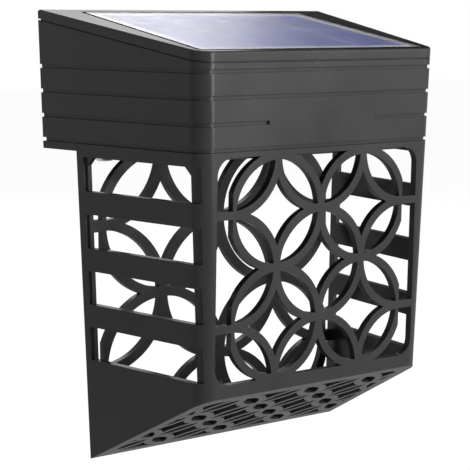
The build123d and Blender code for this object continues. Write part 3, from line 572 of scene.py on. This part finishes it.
# %% [markdown]
# Inside the housing, the board is green glass-fibre laminate. Its copper tracks show as a darker
# and lighter green under the mask, drawn as bricks 2.5 mm long. Chips and coil are black epoxy from
# a mould, so they take the moulded finish with more roughness.

# %% Circuit board and its parts
TRACK_LENGTH, TRACK_WIDTH, TRACK_GAP = 2.5 * MM, 1.25 * MM, 0.15 * MM
fibreglass, tree = new_finish("glass_fibre_green_mask")
place = add_node(tree, "ShaderNodeTexCoord").outputs["Object"]
tracks = add_node(tree, "ShaderNodeTexBrick",
                  values={"Color1": linear("#1d5a34"), "Color2": linear("#226640"),
                          "Mortar": linear("#2f7d50"), "Scale": 1.0,
                          "Brick Width": TRACK_LENGTH, "Row Height": TRACK_WIDTH,
                          "Mortar Size": TRACK_GAP},
                  links={"Vector": place})
surface = add_node(tree, "ShaderNodeBsdfPrincipled", values={"Roughness": 0.35},
                   links={"Base Color": tracks.outputs["Color"]})
add_node(tree, "ShaderNodeOutputMaterial", links={"Surface": surface.outputs["BSDF"]})
paint(["circuit_board"], fibreglass)
paint(["board_parts"], moulded("epoxy_black_transfer_moulded", "#19191b", "#232326",
                               roughness=0.5, grain_size=0.4 * MM, grain_depth=0.02 * MM))

# %% [markdown]
# The cell wears a heat-shrunk PVC sleeve that leaves its two ends bare nickel, the one with the nub
# a little longer. The leads are PVC too: red is the positive one of each pair and black the
# negative. Both have two finishes in one CAD node, and a comparison along X parts them: for the
# cell at the sleeve's two ends, where its finish turns from plastic to metal, and for the leads at
# the lamp's middle.

# %% Sleeve and leads
SLEEVE_LAP, MOTTLE_SIZE, BEYOND_THE_LEADS = 0.8 * MM, 3 * MM, 1.0
cell_low, cell_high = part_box("battery")


def split_finish(name, limits, inner_hex, outer_hex, metal_outside, roughness):
    """Two finishes on one piece, parted across X at two limits."""
    finish, tree = new_finish(name)
    place = add_node(tree, "ShaderNodeTexCoord").outputs["Object"]
    along = add_node(tree, "ShaderNodeSeparateXYZ", links={"Vector": place})
    middle, reach = (limits[0] + limits[1]) / 2, (limits[1] - limits[0]) / 2
    within = add_node(tree, "ShaderNodeMath", {"operation": "COMPARE"}, {1: middle, 2: reach},
                      {0: along.outputs["X"]}).outputs["Value"]
    mottle = add_node(tree, "ShaderNodeTexNoise",
                      values={"Scale": 1 / MOTTLE_SIZE, "Detail": 3.0}, links={"Vector": place})
    shade = add_node(tree, "ShaderNodeMapRange", values={"To Min": 0.88, "To Max": 1.0},
                     links={"Value": mottle.outputs["Fac"]})
    two = add_node(tree, "ShaderNodeMix", {"data_type": "RGBA"},
                   {"A": linear(outer_hex), "B": linear(inner_hex)}, {"Factor": within})
    toned = add_node(tree, "ShaderNodeMix", {"data_type": "RGBA", "blend_type": "MULTIPLY"},
                     {"Factor": 1.0}, {"A": two.outputs["Result"], "B": shade.outputs["Result"]})
    surface = add_node(tree, "ShaderNodeBsdfPrincipled", values={"Roughness": roughness},
                       links={"Base Color": toned.outputs["Result"]})
    if metal_outside:
        metal = add_node(tree, "ShaderNodeMapRange", values={"To Min": 1.0, "To Max": 0.0},
                         links={"Value": within})
        tree.links.new(metal.outputs["Result"], surface.inputs["Metallic"])
    add_node(tree, "ShaderNodeOutputMaterial", links={"Surface": surface.outputs["BSDF"]})
    return finish


paint(["battery"],
      split_finish("pvc_sleeve_heat_shrunk",
                   (cell_low[0] + SLEEVE_LAP, cell_high[0] - 2 * SLEEVE_LAP),
                   "#2c7a50", "#c0beb4", metal_outside=True, roughness=0.28))
paint(["solar_leads", "battery_leads", "switch_leads"],
      split_finish("pvc_lead_extruded", (0.0, BEYOND_THE_LEADS),
                   "#a31f1b", "#161617", metal_outside=False, roughness=0.4))

# %% [markdown]
# The camera stands where the photographer's did. Its place, angle and focal length were solved from
# the object's own edges in the photograph, in the frame of the CAD model.

# %% Camera
SHOT_AZIMUTH, SHOT_PITCH = math.radians(-37.5995), math.radians(7.9205)
SHOT_ROLL, SHOT_DISTANCE = math.radians(0.187), 436.25 * MM
SHOT_FOCAL_PX, FRAME_PX, SENSOR_MM = 1578.11, 470, 36.0
PIVOT, AIM_LEFT, AIM_DOWN = Vector((0, -30.23 * MM, 6.0 * MM)), 4.506 * MM, 51.408 * MM
NEAREST, FARTHEST = 0.01, 20.0

toward_camera = Vector((math.sin(SHOT_AZIMUTH) * math.cos(SHOT_PITCH),
                        -math.cos(SHOT_AZIMUTH) * math.cos(SHOT_PITCH), math.sin(SHOT_PITCH)))
camera_right = (-toward_camera).cross(Vector((0, 0, 1))).normalized()
camera_up = camera_right.cross(-toward_camera)
right_rolled = math.cos(SHOT_ROLL) * camera_right + math.sin(SHOT_ROLL) * camera_up
up_rolled = -math.sin(SHOT_ROLL) * camera_right + math.cos(SHOT_ROLL) * camera_up
aim = PIVOT - AIM_LEFT * camera_right - Vector((0, 0, AIM_DOWN))

camera_data = bpy.data.cameras.new("photo_camera")
camera_data.sensor_width = SENSOR_MM
camera_data.lens = SHOT_FOCAL_PX / FRAME_PX * SENSOR_MM
camera_data.clip_start, camera_data.clip_end = NEAREST, FARTHEST
camera = bpy.data.objects.new("photo_camera", camera_data)
bpy.context.scene.collection.objects.link(camera)
camera.matrix_world = Matrix((
    (right_rolled.x, up_rolled.x, toward_camera.x, 0),
    (right_rolled.y, up_rolled.y, toward_camera.y, 0),
    (right_rolled.z, up_rolled.z, toward_camera.z, 0),
    (0, 0, 0, 1)))
camera.location = aim + toward_camera * SHOT_DISTANCE
bpy.context.scene.camera = camera
print("lens in mm:", round(camera_data.lens, 2))

# %% [markdown]
# The picture has a white ground. The world is white to a ray that comes from the camera, off a
# mirror or through glass, so that nothing glossy shows a dark room. To every other ray it is a dim,
# even light, because the softboxes do the lighting.

# %% World
AMBIENT = 0.03


def seen_rays(tree):
    """1 for a ray that comes from the camera, off a mirror or through glass, and 0 for others."""
    path = add_node(tree, "ShaderNodeLightPath").outputs
    shown = add_node(tree, "ShaderNodeMath", {"operation": "MAXIMUM"},
                     links={0: path["Is Camera Ray"], 1: path["Is Transmission Ray"]})
    seen = add_node(tree, "ShaderNodeMath", {"operation": "MAXIMUM"},
                    links={0: shown.outputs["Value"], 1: path["Is Glossy Ray"]})
    return seen.outputs["Value"]


world = bpy.data.worlds.new("studio")
bpy.context.scene.world = world
world.use_nodes = True
tree = world.node_tree
tree.nodes.clear()
ambient, ground = [add_node(tree, "ShaderNodeBackground",
                            values={"Color": WHITE, "Strength": strength}).outputs["Background"]
                   for strength in (AMBIENT, 1.0)]
choice = add_node(tree, "ShaderNodeMixShader", links={
    "Fac": seen_rays(tree), 1: ambient, 2: ground})
add_node(tree, "ShaderNodeOutputWorld", links={"Surface": choice.outputs["Shader"]})
print("world white to what is seen, and", AMBIENT, "as a light")

# %% [markdown]
# Four softboxes and a wide overhead light stand round the lamp. The key is to the front right, so
# the front is bright and the left side stays dark. A tall, narrow strip nearer the middle gives the
# rounded corner its upright highlight. A faint card behind on the left gives the left side its even
# sheen. A card high behind on the right is what the panel mirrors where it looks white.

# %% Softboxes
LAMP_MIDDLE_MM, PANEL_MIDDLE_MM = (0, -30, -45), (-30, -30, 10)
OVERHEAD_STRENGTH, OVERHEAD_SPREAD = 1.0, math.radians(25)


def softbox(name, place_mm, aim_mm, size_mm, watts):
    """A rectangular studio light."""
    data = bpy.data.lights.new(name, "AREA")
    data.shape, data.size, data.size_y = "RECTANGLE", size_mm[0] * MM, size_mm[1] * MM
    data.energy = watts
    light = bpy.data.objects.new(name, data)
    bpy.context.scene.collection.objects.link(light)
    light.location = Vector(place_mm) * MM
    toward_aim = Vector(aim_mm) - Vector(place_mm)
    light.rotation_euler = toward_aim.to_track_quat("-Z", "Y").to_euler()
    light.visible_camera = False
    print(name, "of", watts, "W at", place_mm)


softbox("key_right", (640, -560, 200), LAMP_MIDDLE_MM, size_mm=(400, 500), watts=2.8)
softbox("corner_strip", (352, -800, 150), LAMP_MIDDLE_MM, size_mm=(115, 500), watts=6.2)
softbox("side_sheen", (-820, 470, 0), LAMP_MIDDLE_MM, size_mm=(700, 700), watts=0.62)
softbox("panel_mirror", (400, 830, 420), PANEL_MIDDLE_MM, size_mm=(520, 560), watts=3.0)
overhead_data = bpy.data.lights.new("overhead", "SUN")
overhead_data.energy, overhead_data.angle = OVERHEAD_STRENGTH, OVERHEAD_SPREAD
overhead = bpy.data.objects.new("overhead", overhead_data)
bpy.context.scene.collection.objects.link(overhead)

# %% [markdown]
# A black felt flag stands behind on the right, beside the card. The right half of the panel mirrors
# it, so the blue of the cells shows there, and the flag's edge makes the panel fade from white to
# blue. Felt takes in nearly all light, and a noise is its nap. The camera does not see the flag.

# %% Flag
FLAG_AZIMUTHS, FLAG_REACH = (math.radians(41.0), math.radians(65.0)), 850 * MM
FLAG_LOW, FLAG_HIGH, NAP_SIZE = 60 * MM, 900 * MM, 4 * MM
left_foot, right_foot = [(FLAG_REACH * math.sin(a), FLAG_REACH * math.cos(a))
                         for a in FLAG_AZIMUTHS]
flag_data = bpy.data.meshes.new("flag")
flag_data.from_pydata([(*left_foot, FLAG_LOW), (*right_foot, FLAG_LOW), (*right_foot, FLAG_HIGH),
                       (*left_foot, FLAG_HIGH)], [], [(0, 1, 2, 3)])
flag = bpy.data.objects.new("flag", flag_data)
bpy.context.scene.collection.objects.link(flag)
flag.visible_camera = False

felt, tree = new_finish("felt_black")
place = add_node(tree, "ShaderNodeTexCoord").outputs["Object"]
nap = add_node(tree, "ShaderNodeTexNoise", values={"Scale": 1 / NAP_SIZE},
               links={"Vector": place})
tint = add_node(tree, "ShaderNodeValToRGB", links={"Fac": nap.outputs["Fac"]},
                stops=[(0.3, "#161616"), (0.7, "#1c1c1c")])
surface = add_node(tree, "ShaderNodeBsdfDiffuse", links={"Color": tint.outputs["Color"]})
add_node(tree, "ShaderNodeOutputMaterial", links={"Surface": surface.outputs["BSDF"]})
flag_data.materials.append(felt)
print("flag from", FLAG_LOW / MM, "to", FLAG_HIGH / MM, "mm high")

# %% [markdown]
# The floor is pale paper some way below the lamp. The camera sees it nearly white, with a little of
# its own shading left in, so the lamp's shadow stays. From below it is clear, so that the underside
# of the lamp can be looked at.

# %% Floor
FLOOR_DROP, FLOOR_HALF = 60 * MM, 3.0
WHITE_SHARE, GLOW = 0.85, 1.09
corners = [(-FLOOR_HALF, -FLOOR_HALF, 0), (FLOOR_HALF, -FLOOR_HALF, 0),
           (FLOOR_HALF, FLOOR_HALF, 0), (-FLOOR_HALF, FLOOR_HALF, 0)]
floor_data = bpy.data.meshes.new("floor")
floor_data.from_pydata(corners, [], [(0, 1, 2, 3)])
floor = bpy.data.objects.new("floor", floor_data)
floor.location.z = cad_low[2] - FLOOR_DROP
bpy.context.scene.collection.objects.link(floor)

floor_finish, tree = new_finish("floor_paper")
paper = add_node(tree, "ShaderNodeBsdfDiffuse", values={"Color": linear("#f2f2f2")})
glow = add_node(tree, "ShaderNodeEmission", values={"Color": WHITE, "Strength": GLOW})
share = add_node(tree, "ShaderNodeMath", {"operation": "MULTIPLY"}, {1: WHITE_SHARE},
                 {0: seen_rays(tree)})
from_above = add_node(tree, "ShaderNodeMixShader", links={
    "Fac": share.outputs["Value"], 1: paper.outputs["BSDF"], 2: glow.outputs["Emission"]})
side = add_node(tree, "ShaderNodeNewGeometry")
clear = add_node(tree, "ShaderNodeBsdfTransparent")
one_sided = add_node(tree, "ShaderNodeMixShader", links={
    "Fac": side.outputs["Backfacing"], 1: from_above.outputs["Shader"], 2: clear.outputs["BSDF"]})
add_node(tree, "ShaderNodeOutputMaterial", links={"Surface": one_sided.outputs["Shader"]})
floor_data.materials.append(floor_finish)
print("floor", round(-floor.location.z / MM, 1), "mm below the lamp's origin")

# %% [markdown]
# Last, the view transform leaves the colours as they are lit.

# %% View transform
bpy.context.scene.view_settings.view_transform = "Standard"
